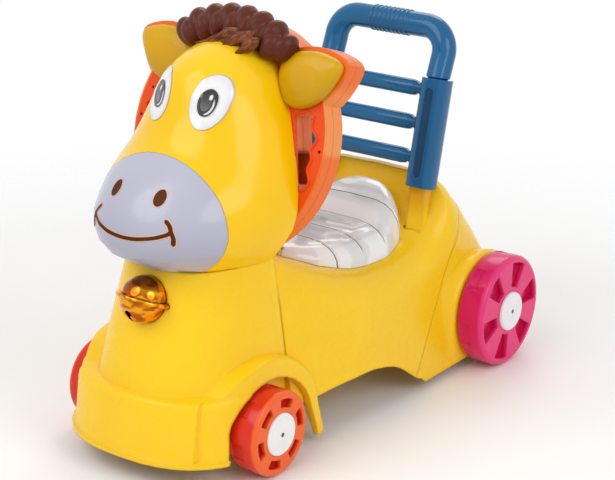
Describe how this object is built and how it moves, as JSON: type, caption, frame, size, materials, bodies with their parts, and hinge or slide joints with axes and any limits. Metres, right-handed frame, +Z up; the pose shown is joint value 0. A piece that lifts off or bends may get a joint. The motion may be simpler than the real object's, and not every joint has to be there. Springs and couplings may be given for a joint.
{
  "type": "baby walker",
  "caption": "Horse-headed ride-on baby walker with wheels, lift-up seat, push handle, bell and music panel",
  "frame": {"origin": "on the floor, midway between the left and right wheels and midway between the bumper's front and the tail's back", "axes": "+X to the horse's left, -Y the way the horse looks, +Z up"},
  "size_m": [0.319, 0.5218, 0.4262],
  "materials": {
    "yellow_shell": "satin moulded",
    "orange_disc": "satin moulded",
    "muzzle_pale": "satin moulded",
    "seat_grey": "glossy moulded",
    "front_wheel_orange": "satin moulded",
    "rear_wheel_magenta": "satin moulded",
    "white_trim": "glossy moulded",
    "ear_yellow": "satin moulded",
    "mane_brown": "glossy moulded",
    "forelock_brown": "streaked moulded",
    "handle_blue": "satin moulded",
    "button_red": "glossy moulded",
    "bell_amber": "glossy, tinted, clear",
    "zinc_steel": "zinc plated",
    "black_plastic": "satin moulded",
    "grey_plastic": "satin moulded",
    "board_green": "solder mask"
  },
  "bodies": {
    "frame": {"battery_box": "black_plastic", "battery_door": "orange_disc", "bell_ball": "zinc_steel", "bell_band": "bell_amber", "bell_lower": "bell_amber", "bell_upper": "bell_amber", "circuit_board": "board_green", "disc_front": "orange_disc", "disc_rear": "orange_disc", "ear_left": "ear_yellow", "ear_right": "ear_yellow", "eye_left": "white_trim", "eye_right": "white_trim", "face_shell": "yellow_shell", "forelock": "forelock_brown", "front_axle": "zinc_steel", "front_axle_nut_left": "zinc_steel", "front_axle_nut_right": "zinc_steel", "front_body": "yellow_shell", "handle_hoop": "handle_blue", "handle_rung_1": "handle_blue", "handle_rung_2": "handle_blue", "handle_rung_3": "handle_blue", "handle_sleeve_left": "handle_blue", "handle_sleeve_right": "handle_blue", "head_mount": "grey_plastic", "mane": "mane_brown", "music_panel": "yellow_shell", "muzzle": "muzzle_pale", "pupil_left": "black_plastic", "pupil_right": "black_plastic", "rear_axle": "zinc_steel", "rear_axle_nut_left": "zinc_steel", "rear_axle_nut_right": "zinc_steel", "rear_body": "yellow_shell", "rear_cover": "yellow_shell", "seat_hinge_pin": "zinc_steel", "speaker": "black_plastic"},
    "front_wheel_left": {"front_wheel_left": "front_wheel_orange", "front_hub_cap_left": "white_trim"},
    "front_wheel_right": {"front_wheel_right": "front_wheel_orange", "front_hub_cap_right": "white_trim"},
    "rear_wheel_left": {"rear_wheel_left": "rear_wheel_magenta", "rear_hub_cap_left": "white_trim"},
    "rear_wheel_right": {"rear_wheel_right": "rear_wheel_magenta", "rear_hub_cap_right": "white_trim"},
    "seat_lid": {"seat_lid": "seat_grey"},
    "music_button_1": {"music_button_1": "button_red"},
    "music_button_2": {"music_button_2": "handle_blue"},
    "music_button_3": {"music_button_3": "rear_wheel_magenta"},
    "power_switch": {"power_switch": "black_plastic"}
  },
  "joints": [
    {"name": "front_wheel_left_spin", "type": "hinge", "parent": "frame", "child": "front_wheel_left", "pos_m": [0, -0.16087, 0.0425], "axis": [1, 0, 0], "continuous": true},
    {"name": "front_wheel_right_spin", "type": "hinge", "parent": "frame", "child": "front_wheel_right", "pos_m": [0, -0.16087, 0.0425], "axis": [1, 0, 0], "continuous": true},
    {"name": "rear_wheel_left_spin", "type": "hinge", "parent": "frame", "child": "rear_wheel_left", "pos_m": [0, 0.19912, 0.061], "axis": [1, 0, 0], "continuous": true},
    {"name": "rear_wheel_right_spin", "type": "hinge", "parent": "frame", "child": "rear_wheel_right", "pos_m": [0, 0.19912, 0.061], "axis": [1, 0, 0], "continuous": true},
    {"name": "seat_lid_hinge", "type": "hinge", "parent": "frame", "child": "seat_lid", "pos_m": [0, -0.05187, 0.1752], "axis": [1, 0, 0], "range_deg": [0, 60]},
    {"name": "music_button_1_press", "type": "slide", "parent": "frame", "child": "music_button_1", "axis": [0, -0.9523, 0.3051], "range_m": [0, 0.0025], "stiffness_N_per_m": 400, "springref_m": -0.001},
    {"name": "music_button_2_press", "type": "slide", "parent": "frame", "child": "music_button_2", "axis": [0, -0.9523, 0.3051], "range_m": [0, 0.0025], "stiffness_N_per_m": 400, "springref_m": -0.001},
    {"name": "music_button_3_press", "type": "slide", "parent": "frame", "child": "music_button_3", "axis": [0, -0.9523, 0.3051], "range_m": [0, 0.0025], "stiffness_N_per_m": 400, "springref_m": -0.001},
    {"name": "power_switch_slide", "type": "slide", "parent": "frame", "child": "power_switch", "axis": [1, 0, 0], "range_m": [-0.003, 0.003]}
  ]
}
